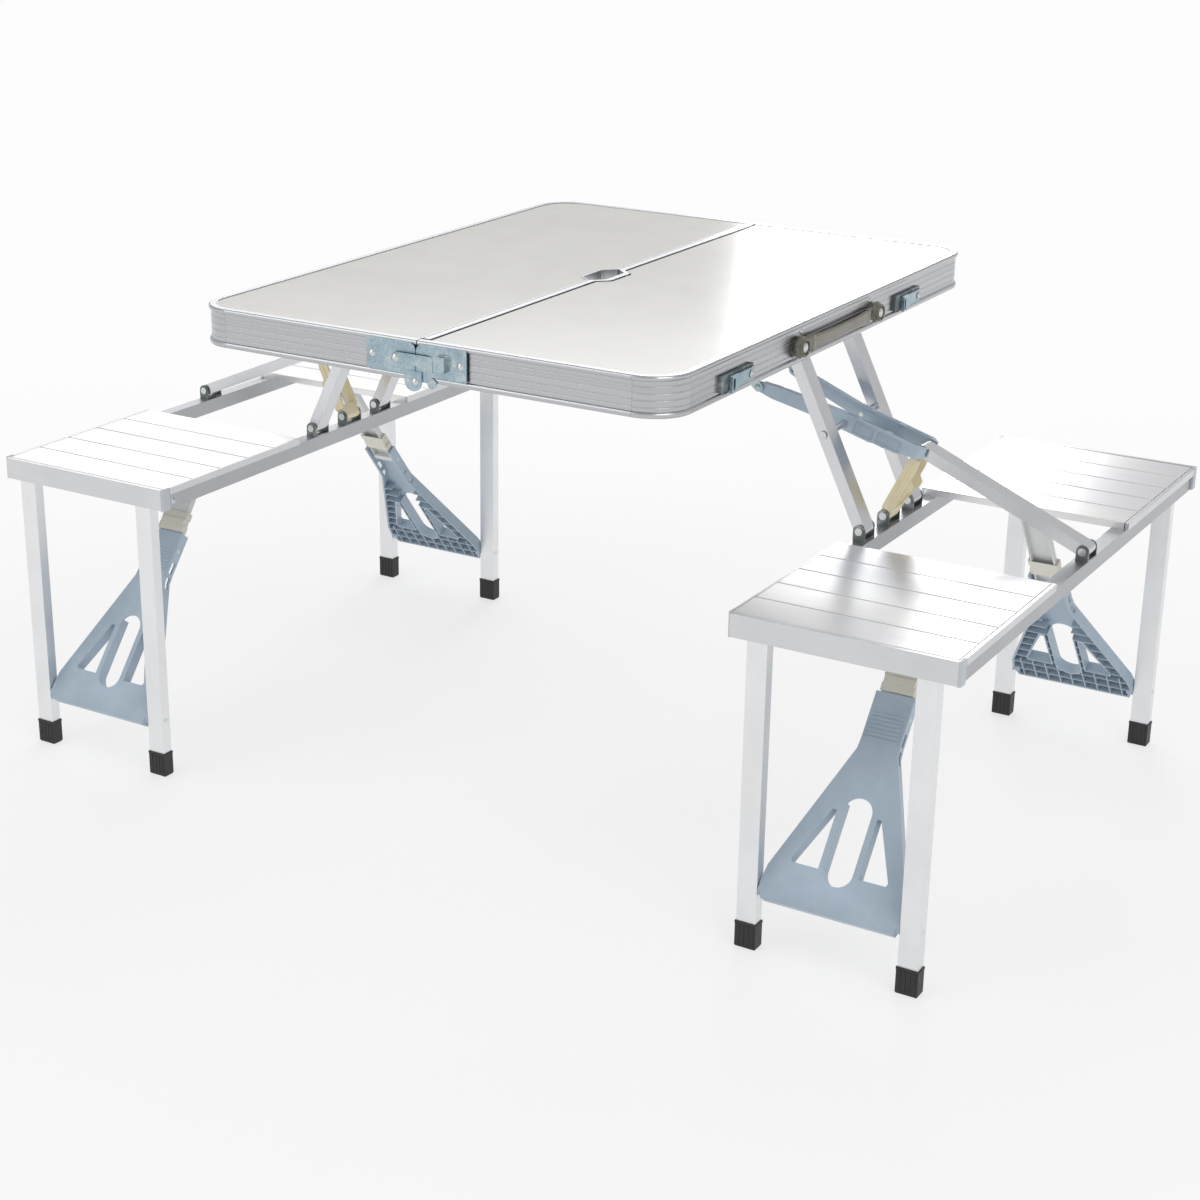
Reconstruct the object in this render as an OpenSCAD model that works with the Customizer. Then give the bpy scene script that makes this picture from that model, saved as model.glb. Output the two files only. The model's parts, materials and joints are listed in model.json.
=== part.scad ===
// Folding picnic table: a two-half table top that folds flat round four seats.
// Units are millimetres. The origin is on the ground under the middle of the table.
// X runs along the split between the two halves, +Y is the rear half, +Z is up.

/* [Table top] */
// Length of the table top along the split
table_l = 855; // [820:5:900]
// Width of the whole table top, across the split
table_w = 670; // [660:5:690]
// Height of the table top above the ground
table_h = 665; // [665:1:668]
// Height of the aluminium rim
rim_h = 48; // [46:1:52]
// Outer radius of the rim corners
corner_r = 50; // [40:5:60]
// Thickness of the sandwich panel
panel_t = 4; // [3:1:5]
// Length of the umbrella hole along the split
hole_l = 78; // [60:2:90]
// Distance the umbrella hole reaches into each half
hole_reach = 17; // [14:1:20]

/* [Seats] */
// Distance from the split to the inner edge of a seat
seat_in = 408; // [406:1:410]
// Depth of a seat, from inner to outer edge
seat_d = 276; // [276:1:280]
// Height of the seat surface
seat_h = 410; // [410:1:411]
// Distance from the middle to the inside end of a seat deck
deck_from = 130; // [130:5:150]
// Distance from the middle to the outside end of a seat
deck_to = 418; // [416:1:418]
// Number of slats in one seat
slats = 5; // [4:1:6]
// Thickness of the hollow slats
slat_t = 9; // [8:0.5:9]
// Width of a seat rail tube
rail_w = 19; // [16:1:19]
// Height of a seat rail tube
rail_h = 20; // [18:1:20]

/* [Legs] */
// Width of a leg tube along Y
leg_w = 25; // [22:1:25]
// Thickness of a leg tube along X
leg_t = 15; // [13:1:15]
// Distance from the middle of a seat to each leg
leg_off = 101; // [96:1:101]
// Height of the leg pivot
leg_pivot_z = 390; // [389:0.5:390]
// Height of the brace pivot on the leg
brace_pivot_z = 78; // [70:1:90]
// Height of a rubber foot
foot_h = 33; // [28:1:38]
// Length of a leg brace from its base pivot to its knee
brace_len = 233; // [230:1:236]
// Tilt of a leg brace from upright
brace_tilt = 38.4; // [37:0.1:39]

/* [Folding linkage] */
// Distance from the middle to a strut
strut_x = 75; // [73:1:78]
// Width of struts and stay tubes along X
strut_w = 25; // [22:1:25]
// Thickness of struts and stay tubes
strut_t = 15; // [12:1:15]
// Distance from the split to the pivot under the table
strut_top_y = 303.2; // [303:0.1:303.4]
// Drop of that pivot below the table top
strut_top_drop = 16; // [16:0.5:17]
// Distance from the seat edge to the strut pivot on the inner rail
strut_foot_in = 10; // [10:0.5:11]
// Distance from the seat edge to the stay pivot on the outer rail
stay_in = 266; // [265:0.5:266]
// Height of the rail pivots above the seat surface
rail_pivot_up = 3; // [3:0.5:4]

/* [Hidden] */
$fn = 48;

// Small sizes shared by many pieces
eps = 0.1;
fit = 0.06;
gap = 0.5;
wall = 1.5;
pin_r = 3;
ear_t = 2;

// Table top
half_l = table_l / 2;
half_w = table_w / 2;
rim_z = table_h - rim_h;
rim_flat = 2.5;
rim_wall_in = 5;
line_d = 0.3;
panel_top = table_h - 1;
panel_low = panel_top - panel_t;
panel_in = 6.5;
lip_in = 9.5;
ledge_in = 13;
hinge_z = rim_z;
rim_front = -half_w + rim_flat - fit;

// Width of the strip along the split, and of the dark seam between it and the panel
function strip_w(side) = side > 0 ? 3 : 9.3;
function strip_seam(side) = side > 0 ? 0.3 : 2.8;

hole_half = hole_l / 2;

// End plates, from the outer face of the rim outwards
plate_x = half_l;
plate_t = 2;
plate_l = 70;
plate_low = table_h - 41;
plate_top = table_h - 3;
plate_rivet_y = 62;
tongue_x = plate_x + plate_t;
hook_x = tongue_x + plate_t + 0.3;
hook_y = 26;
hook_z = table_h - 22;
peg_y = -31;

// Latches and handle on the long front face
latch_x = 243;
latch_z = rim_z + 17;
latch_reach = 42;
handle_half = 110;
handle_z = table_h - 28;
handle_t = 5;
handle_ring = 11;
handle_travel = 4;
post_end = -half_w - gap - handle_t - handle_travel - 0.3;

// Seat frame
seat_out = seat_in + seat_d;
seat_mid = seat_in + seat_d / 2;
cap_t = 3;
rail_in = seat_in + cap_t;
rail_out = seat_out - cap_t - rail_w;
rail_top = seat_h - slat_t;
rail_low = rail_top - rail_h;
end_low = seat_h - 28;
end_d = 15;
end_face = 2;
end_lip = 5;
inner_trim = 2.6;
outer_trim = 5;
slat_gap = 1.8;
slat_w = (deck_to - end_lip - deck_from) / slats;
rail_end = deck_to - end_face - gap;

// Leg linkage: the knee and the stay pivot close up flat when the leg has turned a quarter turn
leg_x = deck_to - end_face - gap - leg_t / 2;
leg_drop = leg_pivot_z - brace_pivot_z;
knee_x = leg_x - brace_len * sin(brace_tilt);
knee_z = brace_pivot_z + brace_len * cos(brace_tilt);
knee_folded_x = leg_x - leg_drop + brace_len;
knee_up = knee_z - leg_pivot_z;
stay_x = (knee_x * knee_x + knee_up * knee_up - knee_folded_x * knee_folded_x)
         / (2 * (knee_x - knee_folded_x));
stay_len = knee_folded_x - stay_x;
stay_angle = atan2(leg_pivot_z - knee_z, knee_x - stay_x);
brace_half = leg_off - leg_w / 2 - gap;
neck_half = 24;
neck_wall = 3;
neck_end = 25;
brace_t = 8;
skin_t = 2.5;
stay_half = 17;
stay_ear = 12;
slider_half = 20.5;

// Table linkage, as [y, z] points on the rear side
p_strut_top = [strut_top_y, table_h - strut_top_drop];
p_strut_foot = [seat_in + strut_foot_in, seat_h + rail_pivot_up];
p_stay = [seat_in + stay_in, seat_h + rail_pivot_up];
p_cross = p_strut_top + 0.52 * (p_strut_foot - p_strut_top);
p_beam_end = [461.4, 503];
p_beam_arm = [256.1, 563.1];
p_link_top = [183.5, 628.1];
beam_angle = atan2(p_beam_end[1] - p_beam_arm[1], p_beam_end[0] - p_beam_arm[0]);
beam_len = norm(p_beam_end - p_beam_arm);
beam_half = 26;
arm_half = 50;
beam_wall = 3;
beam_lip = 1.8;
lip_w = 7.9;
beam_top = 8.5;
beam_low = -9;
belly = -14;
beam_end = beam_len + 7;
taper_end = 112;
lever_len = norm(p_beam_end - p_strut_foot);
lever_angle = atan2(p_beam_end[1] - p_strut_foot[1], p_beam_end[0] - p_strut_foot[0]);
link_x = arm_half + 1.1;
link_t = 2.5;
lever_base = 15;

// ---- Helpers ----

// A box from one corner to the other
module span(low, high) {
    translate(low) cube(high - low);
}

// A 2D drawing in the YZ plane, given thickness from x0 to x1
module slab(x0, x1) {
    translate([x0, 0, 0]) rotate([90, 0, 90]) linear_extrude(x1 - x0) children();
}

// A 2D drawing in the XZ plane, given thickness from y0 to y1
module wall_y(y0, y1) {
    translate([0, y1, 0]) rotate([90, 0, 0]) linear_extrude(y1 - y0) children();
}

// A pin along X through the point [y, z]
module pin_x(p, x0, x1, r) {
    translate([x0, p[0], p[1]]) rotate([0, 90, 0]) cylinder(h = x1 - x0, r = r);
}

// A pin along Y through the point [x, z]
module pin_y(x, z, y0, y1, r) {
    translate([x, y1, z]) rotate([90, 0, 0]) cylinder(h = y1 - y0, r = r);
}

// A rivet along X: a shank and a low domed head outside each end
module rivet_x(p, x0, x1, r, head_r, head_t) {
    pin_x(p, x0, x1, r);
    pin_x(p, x1, x1 + head_t, head_r);
    pin_x(p, x0 - head_t, x0, head_r);
}

// A domed rivet head lying on a face: a sphere cap of radius r and height t, along +Z
module dome(r, t) {
    ball = (r * r + t * t) / (2 * t);
    intersection() {
        translate([0, 0, t - ball]) sphere(r = ball);
        cylinder(h = t, r = r);
    }
}

// A copy on both sides of the X = 0 plane
module both_x() {
    children();
    mirror([1, 0, 0]) children();
}

// The same piece on the rear side (side = 1) or the front side (side = -1)
module on_side(side) {
    if (side > 0) children();
    else mirror([0, 1, 0]) children();
}

// The same piece at the left end (end = -1) or the right end (end = 1)
module on_end(end) {
    if (end > 0) children();
    else mirror([1, 0, 0]) children();
}

// A bar with round ends between two [y, z] points
module bar_2d(a, b, half) {
    along = b - a;
    translate(a) rotate(atan2(along[1], along[0])) {
        translate([0, -half]) square([norm(along), 2 * half]);
        circle(half);
        translate([norm(along), 0]) circle(half);
    }
}

// ---- Table top ----

// Half of the umbrella hole, as an outline that grows by grow on every side
module umbrella_outline(grow) {
    reach = hole_reach + grow;
    wide = hole_half + grow;
    narrow = wide - reach * 0.9;
    cut = 3;
    polygon([[-wide, -grow], [wide, -grow], [wide - cut, cut + 1], [narrow + cut, reach - cut],
             [narrow - 1, reach], [-narrow + 1, reach], [-narrow - cut, reach - cut], [-wide + cut, cut + 1]]);
}

// Plan of one half, inset from the rim's outer face, with its two outer corners rounded
module half_plan(inset) {
    r = corner_r - inset;
    l = half_l - inset;
    w = half_w - inset;
    difference() {
        union() {
            translate([-l, gap]) square([2 * l, w - r - gap]);
            translate([-l + r, gap]) square([2 * (l - r), w - gap]);
            for (sx = [-1, 1]) translate([sx * (l - r), w - r]) circle(r, $fn = 96);
        }
        translate([-l, -2 * corner_r]) square([2 * l, 2 * corner_r + gap]);
    }
}

// Sandwich panel of one half, its border pressed a little thinner under the rim's lip
module panel(side) {
    pressed = 0.3;
    color([0.9, 0.89, 0.86]) on_side(side) translate([0, 0, panel_low]) difference() {
        union() {
            linear_extrude(panel_t - pressed) half_plan(panel_in);
            linear_extrude(panel_t) half_plan(lip_in + fit);
        }
        translate([0, 0, -1]) linear_extrude(panel_t + 2) {
            square([2 * table_l, 2 * (strip_w(side) + strip_seam(side))], center = true);
            umbrella_outline(strip_w(side) - 1 + strip_seam(side));
        }
    }
}

// Section of the rim: x is the distance inwards from the outer face, y is the height.
// A bead runs along the top and the bottom, with fine drawn lines across the flat face between them.
rim_section = concat(
    [[1, 0], [rim_wall_in, 0], [rim_wall_in, rim_h - 8], [ledge_in, rim_h - 8],
     [ledge_in, rim_h - panel_t - 1 - fit], [rim_wall_in, rim_h - panel_t - 1 - fit],
     [rim_wall_in, rim_h - 1 + fit], [lip_in, rim_h - 1 + fit], [lip_in, rim_h], [2, rim_h],
     [0.6, rim_h - 0.7], [0, rim_h - 2], [0, rim_h - 4], [0.7, rim_h - 5.5], [rim_flat, rim_h - 6.5]],
    [for (i = [3:-1:0]) let (z = 11 + 8 * i)
        each [[rim_flat, z + 1.6], [rim_flat + line_d, z + 1.2], [rim_flat + line_d, z + 0.4], [rim_flat, z]]],
    [[rim_flat, 7], [0.7, 6], [0, 4.5], [0, 1.5]]);

module rim_bar(length) {
    linear_extrude(length) polygon(rim_section);
}

// What lies on the far side of the split's clearance
module past_split() {
    intersection() {
        children();
        translate([-half_l, gap]) square([table_l, half_w]);
    }
}

// The profile along the split that frames the panel edge: its top is wide on the front half and only an
// edge on the rear half, and a ledge runs under the panel on both
module split_strip(side) {
    strip_l = half_l - 14;
    rise = 14;
    difference() {
        union() {
            span([-strip_l, gap, rim_z + 4], [strip_l, gap + 2, table_h]);
            span([-strip_l, gap, panel_top + fit], [strip_l, strip_w(side), table_h]);
            span([-strip_l, gap, panel_low - 2], [strip_l, ledge_in, panel_low - fit]);
            translate([0, 0, panel_top + fit]) linear_extrude(1 - fit)
                past_split() umbrella_outline(strip_w(side) - 1);
            translate([0, 0, panel_low - 2]) linear_extrude(2 - fit)
                past_split() umbrella_outline(ledge_in - 1);
            translate([0, 0, table_h - rise]) linear_extrude(rise) past_split() umbrella_outline(2);
        }
        translate([0, 0, rim_z - 1]) linear_extrude(rim_h + 2) umbrella_outline(0);
    }
}

module rim(side) {
    seam = 0.2;
    end_run = half_w - corner_r;
    color([0.78, 0.79, 0.8]) on_side(side) {
        // one long length and two short lengths
        translate([-half_l + corner_r + seam, half_w, rim_z]) rotate([90, 0, 90]) mirror([1, 0, 0])
            rim_bar(table_l - 2 * corner_r - 2 * seam);
        both_x() translate([half_l, gap, rim_z]) rotate([90, 0, 0]) mirror([0, 0, 1]) mirror([1, 0, 0])
            rim_bar(end_run - gap - seam);
        // two bent corners
        both_x() translate([half_l - corner_r, half_w - corner_r, rim_z]) rotate_extrude(angle = 90, $fn = 96)
            translate([corner_r, 0]) mirror([1, 0]) polygon(rim_section);
        split_strip(side);
    }
}

// ---- Hinge plates, hooks and latches ----

module hinge_plate(side) {
    // plate with a rounded inner top corner
    corner = 9;
    slab(plate_x, plate_x + plate_t) difference() {
        union() {
            translate([gap, plate_low]) square([plate_l - gap, plate_top - plate_low - corner]);
            translate([gap + corner, plate_low]) square([plate_l - gap - corner, plate_top - plate_low]);
            translate([gap + corner, plate_top - corner]) circle(corner);
        }
        translate([plate_rivet_y, hook_z]) circle(pin_r + fit);
        if (side > 0) translate([hook_y, hook_z]) circle(pin_r + fit);
    }
}

module rear_hinge_plates() {
    color([0.66, 0.72, 0.74]) both_x() {
        difference() {
            union() {
                hinge_plate(1);
                slab(tongue_x, tongue_x + plate_t) {
                    translate([-9, rim_z]) square([24, table_h - 22 - 14 - rim_z]);
                    translate([3, rim_z]) circle(12);
                }
            }
            pin_x([0, hinge_z], tongue_x - 1, tongue_x + plate_t + 1, pin_r + fit);
        }
    }
}

module front_hinge_plates() {
    lug = 6.5;
    color([0.66, 0.72, 0.74]) both_x() difference() {
        union() {
            mirror([0, 1, 0]) hinge_plate(-1);
            slab(plate_x, plate_x + plate_t) {
                translate([0, hinge_z]) circle(lug);
                translate([-22, hinge_z]) square([22, plate_low - hinge_z - 0.4]);
                translate([-22, hinge_z]) square([21, plate_low - hinge_z + 1]);
                translate([-22, hinge_z]) circle(lug);
            }
        }
        pin_x([0, hinge_z], plate_x - 1, plate_x + plate_t + 1, pin_r + fit);
    }
}

// Rivets of the rear half: plate rivets, hook pivots, hinge pins, strut and link pins
module rear_rivets() {
    color([0.75, 0.77, 0.78]) {
        both_x() {
            plate_rivet(1);
            pin_x([0, hinge_z], plate_x, tongue_x + plate_t, pin_r);
            translate([tongue_x + plate_t, 0, hinge_z]) rotate([0, 90, 0]) dome(5, 2);
            pin_x([hook_y, hook_z], plate_x, hook_x + plate_t, pin_r);
            translate([hook_x + plate_t, hook_y, hook_z]) rotate([0, 90, 0]) dome(5.5, 2.2);
        }
        table_pins(1);
    }
}

module front_rivets() {
    color([0.75, 0.77, 0.78]) {
        both_x() plate_rivet(-1);
        table_pins(-1);
        for (x = [-handle_half, handle_half]) {
            translate([x * 0.91, rim_front, table_h - 11.5]) rotate([90, 0, 0]) dome(3.2, 1.8);
            pin_y(x, handle_z, post_end, rim_front, 4);
            translate([x, post_end, handle_z]) rotate([90, 0, 0]) dome(6.5, 1.8);
        }
        both_x() {
            pin_y(latch_x, latch_z, -half_w - 5, rim_front, 2.5);
            translate([latch_x, -half_w - 5, latch_z]) rotate([90, 0, 0]) dome(4.5, 1.8);
        }
    }
}

module plate_rivet(side) {
    y = side * plate_rivet_y;
    pin_x([y, hook_z], plate_x, plate_x + plate_t, pin_r);
    translate([plate_x + plate_t, y, hook_z]) rotate([0, 90, 0]) dome(5, 2);
}

// Pins that hold the struts and the links under one half
module table_pins(side) {
    outer = strut_x + strut_w / 2 + ear_t + gap;
    inner = strut_x - strut_w / 2 - ear_t - gap;
    both_x() on_side(side) {
        rivet_x(p_strut_top, inner, outer, pin_r, 5, 1.5);
        rivet_x(p_link_top, link_x - gap, link_x + link_t + gap + ear_t, pin_r, 5, 1.5);
    }
}

module hook() {
    half = 6.5;
    claw = 4.6;
    color([0.7, 0.75, 0.77]) slab(hook_x, hook_x + plate_t) difference() {
        union() {
            translate([hook_y, hook_z]) circle(half);
            translate([peg_y - 8, hook_z - half]) square([hook_y - peg_y + 8, 2 * half]);
            translate([peg_y - 8, hook_z - half - 5]) square([20, 8]);
        }
        translate([hook_y, hook_z]) circle(pin_r + fit);
        translate([peg_y, hook_z]) circle(claw);
        translate([peg_y - claw, hook_z - 20]) square([2 * claw, 20]);
    }
}

// Catch plates on the front half, each with a peg for the hook
module hook_catches() {
    color([0.66, 0.72, 0.74]) both_x() {
        slab(tongue_x, hook_x + plate_t + 3) translate([peg_y, hook_z]) circle(2.6);
        slab(tongue_x, tongue_x + 1.6) translate([-44, hook_z - 9]) square([22, 18]);
        slab(tongue_x, hook_x + plate_t + 3) translate([-44, hook_z - 9]) square([2, 18]);
        slab(hook_x + plate_t + 1, hook_x + plate_t + 3) translate([-44, hook_z - 9]) square([15, 18]);
    }
}

// Plates on the long front face behind the swinging hooks that close the folded case
module latch_bases() {
    color([0.5, 0.53, 0.55]) for (x = [-latch_x, latch_x]) difference() {
        wall_y(-half_w - 2, rim_front) translate([x - 69, latch_z - 9]) square([78, 20]);
        span([x - 75, -half_w, latch_z - 10], [x + 15, -half_w + rim_flat + gap, latch_z - 9 + 0.4]);
        pin_y(x, latch_z, -half_w - 6, -half_w + rim_flat + 1, 2.5 + fit);
    }
}

// Swinging hook with its pivot at x: a plate with folded edges and a claw that opens downwards
module latch_hook(x) {
    back = -half_w - 2.3;
    face = back - 2.1;
    claw_from = -latch_reach - 9;
    color([0.72, 0.77, 0.79]) translate([x, 0, latch_z]) difference() {
        union() {
            wall_y(face, back) {
                translate([-latch_reach, -8]) square([latch_reach + 7, 16]);
                translate([claw_from, -12]) square([20, 20]);
            }
            span([claw_from, face - 2.5, -12], [claw_from + 1.8, face + 1, 7]);
            span([-latch_reach + 12, face - 1.5, 6.6], [-1, face + 1, 8]);
        }
        wall_y(face - 1, back + 1) {
            circle(2.5 + fit);
            translate([-latch_reach - 3, -20]) square([6, 23]);
        }
    }
}

// Pegs on the rear half that the latch hooks catch when the case is shut
module latch_pegs() {
    color([0.66, 0.72, 0.74]) both_x() {
        wall_y(-rim_front, half_w + 2) translate([latch_x - 12, latch_z - 7]) square([24, 22]);
        pin_y(latch_x, latch_z + 8, half_w + 2, half_w + 6, 2.5);
        pin_y(latch_x, latch_z + 8, half_w + 6, half_w + 7.5, 4);
    }
}

// Strap handle with a ringed eye at each end, on two headed posts that let it lift away from the rim
module handle() {
    back = -half_w - gap;
    posts = [-handle_half, handle_half];
    color([0.55, 0.5, 0.38]) difference() {
        union() {
            wall_y(back - handle_t, back) {
                translate([-handle_half, handle_z - 8]) square([2 * handle_half, 16]);
                for (x = posts) translate([x, handle_z]) circle(14);
            }
            for (x = posts) pin_y(x, handle_z, back - handle_ring, back, 11.5);
        }
        for (x = posts) {
            pin_y(x, handle_z, back - 20, back + 1, 5);
            pin_y(x, handle_z, back - 20, back - handle_t, 8);
        }
    }
}

// ---- Brackets under the table ----

// An ear with a round end at the pivot, its straight side reaching the height z
module ear_2d(p, r, z) {
    difference() {
        union() {
            translate(p) circle(r);
            translate([p[0] - r, min(p[1], z)]) square([2 * r, abs(z - p[1])]);
        }
        translate(p) circle(pin_r + fit);
    }
}

module bracket_ear(p, x0, r) {
    slab(x0, x0 + ear_t) ear_2d(p, r, panel_low);
}

module brackets(side) {
    strut_r = 9;
    base_y = 20;
    link_ear_r = 7;
    in_x = strut_x - strut_w / 2 - gap - ear_t;
    out_x = strut_x + strut_w / 2 + gap;
    ear_x = link_x + link_t + gap;
    color([0.66, 0.72, 0.74]) on_side(side) {
        both_x() {
            bracket_ear(p_strut_top, in_x, strut_r);
            bracket_ear(p_strut_top, out_x, strut_r);
            span([in_x, p_strut_top[0] - strut_r, panel_low - ear_t],
                 [out_x + ear_t, p_strut_top[0] + strut_r, panel_low]);
        }
        both_x() bracket_ear(p_link_top, ear_x, link_ear_r);
        span([-ear_x - ear_t, p_link_top[0] - base_y, panel_low - ear_t],
             [ear_x + ear_t, p_link_top[0] + base_y, panel_low]);
    }
}

// ---- Seat frames ----

module rail(y) {
    difference() {
        span([-rail_end, y, rail_low], [rail_end, y + rail_w, rail_top]);
        span([-rail_end - 1, y + wall, rail_low + wall], [rail_end + 1, y + rail_w - wall, rail_top - wall]);
        both_x() pin_y(leg_x, leg_pivot_z, y - 1, y + rail_w + 1, pin_r + fit);
    }
}

module seat_rails(side) {
    color([0.62, 0.64, 0.66]) on_side(side) {
        rail(rail_in);
        rail(rail_out);
    }
}

// Hollow slat with a small chamfer along each top edge
module slat() {
    w = slat_w - slat_gap;
    edge = 0.8;
    room = (w - 3 * wall) / 2;
    wall_y(seat_in + inner_trim + gap, seat_out - outer_trim - 2 * gap) difference() {
        polygon([[0, 0], [w, 0], [w, slat_t - edge], [w - edge, slat_t], [edge, slat_t], [0, slat_t - edge]]);
        for (x = [wall, w - wall - room]) translate([x, wall]) square([room, slat_t - 2 * wall]);
    }
}

module seat_slats(side) {
    color([0.85, 0.85, 0.86]) on_side(side) both_x() for (i = [0:slats - 1])
        translate([deck_from + i * slat_w, 0, rail_top]) slat();
}

// End profile with a lip along its top, and a floor cut away where the legs stand
module end_profile() {
    difference() {
        union() {
            span([deck_to - end_face, seat_in + cap_t, end_low], [deck_to, seat_out - cap_t, seat_h]);
            span([deck_to - end_lip, seat_in + cap_t, seat_h - end_face], [deck_to, seat_out - cap_t, seat_h]);
            span([deck_to - end_d, rail_in + rail_w + gap, rail_top - 1.4],
                 [deck_to, rail_out - gap, rail_top - fit]);
        }
        for (y = [-leg_off, leg_off]) translate([0, seat_mid + y, 0])
            span([leg_x - leg_t, -leg_w / 2 - gap, leg_pivot_z],
                 [deck_to - end_face, leg_w / 2 + gap, rail_top + 1]);
    }
}

// End profiles that cover the leg pivots, and trims that cover the slat ends
module seat_ends(side) {
    trim_to = deck_to - end_d;
    color([0.7, 0.71, 0.73]) on_side(side) both_x() {
        end_profile();
        span([deck_from, seat_in, rail_top], [trim_to, seat_in + inner_trim, seat_h]);
        span([deck_from, seat_out - outer_trim, rail_top], [trim_to, seat_out, seat_h]);
        span([trim_to - gap, seat_out - outer_trim, rail_top],
             [deck_to - end_lip - gap, seat_out - cap_t - gap, seat_h]);
    }
}

// Plan of an end cap, its outside corner cut back
module cap_plan(y) {
    outer = y > seat_mid ? y + cap_t : y;
    inner = y > seat_mid ? y : y + cap_t;
    cut = y > seat_mid ? -cap_t : cap_t;
    polygon([[deck_to - end_d + gap, outer], [deck_to - cap_t, outer], [deck_to, outer + cut],
             [deck_to, inner], [deck_to - end_d + gap, inner]]);
}

// Plastic caps over the open ends of the end profiles
module seat_caps(side) {
    color([0.78, 0.79, 0.78]) on_side(side) both_x() for (y = [seat_in, seat_out - cap_t])
        translate([0, 0, end_low - 1]) linear_extrude(29.4) cap_plan(y);
}

// Pins of one seat frame: leg pivot rods, strut, lever and stay pins, stay bracket pins, rail rivets
module seat_rivets(side) {
    rod_in = rail_in + wall + gap;
    strut_gap = strut_w / 2 + gap + ear_t;
    color([0.75, 0.77, 0.78]) on_side(side) {
        both_x() {
            pin_y(leg_x, leg_pivot_z, rod_in, seat_out - cap_t - wall - gap, pin_r);
            rivet_x(p_strut_foot, strut_x - strut_gap, strut_x + strut_gap, pin_r, 5, 1.5);
            pin_y(stay_x, leg_pivot_z, seat_mid - stay_half - gap / 2, seat_mid + stay_half + gap / 2, pin_r);
            translate([leg_x - 14, rail_in, leg_pivot_z]) rotate([90, 0, 0]) dome(4, 1.8);
        }
        rivet_x(p_strut_foot, -lever_base - gap - ear_t, lever_base + gap + ear_t, pin_r, 5, 1.5);
        rivet_x(p_stay, -strut_gap, strut_gap, pin_r, 5, 1.5);
    }
}

// U clevis standing on a rail, its two ears square to X
module clevis(x, p, half) {
    r = 8;
    inner = half + gap;
    translate([x, 0, 0]) {
        both_x() slab(inner, inner + ear_t) ear_2d(p, r, rail_top);
        span([-inner, p[0] - r, rail_top], [inner, p[0] + r, rail_top + ear_t]);
    }
}

// U bracket under a deck, its two ears square to Y, for a leg stay
module stay_bracket() {
    r = 7;
    span([stay_x - r, seat_mid - stay_ear, rail_top - ear_t],
         [stay_x + r, seat_mid + stay_ear, rail_top - fit]);
    for (y = [-stay_ear - ear_t, stay_ear]) translate([0, seat_mid + y, 0])
        wall_y(0, ear_t) ear_2d([stay_x, leg_pivot_z], r, rail_top - fit);
}

module clevises(side) {
    color([0.42, 0.44, 0.46]) on_side(side) {
        both_x() clevis(strut_x, p_strut_foot, strut_w / 2);
        clevis(0, p_strut_foot, lever_base);
        clevis(0, p_stay, strut_w / 2);
        both_x() stay_bracket();
    }
}

// ---- Struts, beam, links, stay tube and lock lever ----

// Hollow tube with round ends between two [y, z] points, bored for a pin at each
module link_tube(a, b, half_x, half_t) {
    along = b - a;
    difference() {
        slab(-half_x, half_x) bar_2d(a, b, half_t);
        translate([0, a[0], a[1]]) rotate([atan2(along[1], along[0]), 0, 0])
            span([-half_x + wall, half_t, -half_t + wall],
                 [half_x - wall, norm(along) - half_t, half_t - wall]);
        for (p = [a, b]) pin_x(p, -half_x - 1, half_x + 1, pin_r + fit);
    }
}

module struts(side) {
    inner = strut_x - strut_w / 2;
    sleeve_r = 4.5;
    color([0.74, 0.75, 0.77]) on_side(side) both_x() {
        difference() {
            translate([strut_x, 0, 0]) link_tube(p_strut_top, p_strut_foot, strut_w / 2, strut_t / 2);
            pin_x(p_cross, inner - 1, strut_x + strut_w / 2 + 1, pin_r + fit);
        }
        // cross pin with a spacer sleeve between strut and beam
        pin_x(p_cross, beam_half - beam_wall, strut_x + strut_w / 2 + 1, pin_r);
        pin_x(p_cross, strut_x + strut_w / 2 + 1, strut_x + strut_w / 2 + 2.5, 5);
        difference() {
            pin_x(p_cross, beam_half + gap + 1.5, inner - fit, sleeve_r);
            pin_x(p_cross, beam_half, inner, pin_r + fit);
        }
    }
}

// Carries a piece drawn in the beam's own frame: y from the arm pivots to the narrow end, +z to its top
module in_beam() {
    translate([0, p_beam_arm[0], p_beam_arm[1]]) rotate([beam_angle, 0, 0]) children();
}

// Plan of the beam, pulled in by inset: x runs along the beam
function beam_plan(inset) = [
    [-9, arm_half - inset], [14, arm_half - 2 - inset], [taper_end, beam_half - inset],
    [beam_end - 8, beam_half - inset], [beam_end, beam_half - 8 - inset / 3],
    [beam_end, -beam_half + 8 + inset / 3], [beam_end - 8, -beam_half + inset],
    [taper_end, -beam_half + inset], [14, -arm_half + 2 + inset], [-9, -arm_half + inset]];

// Walls of the beam, open at both ends, with a lip turned in along the top
module beam_walls() {
    depth = 20;
    end_open = beam_half - beam_wall - 5;
    arm_open = arm_half - 7;
    translate([0, 0, -depth]) mirror([1, -1, 0]) {
        linear_extrude(depth + beam_top - beam_lip) difference() {
            polygon(beam_plan(0));
            polygon(beam_plan(beam_wall));
            translate([beam_end - 12, -end_open]) square([30, 2 * end_open]);
            translate([-20, -arm_open]) square([20, 2 * arm_open]);
        }
        translate([0, 0, depth + beam_top - beam_lip]) linear_extrude(beam_lip) difference() {
            polygon(beam_plan(0));
            polygon(beam_plan(lip_w));
            translate([beam_end - 20, -14]) square([30, 28]);
            translate([-20, -arm_half + 12]) square([50, 2 * arm_half - 24]);
        }
    }
}

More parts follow.
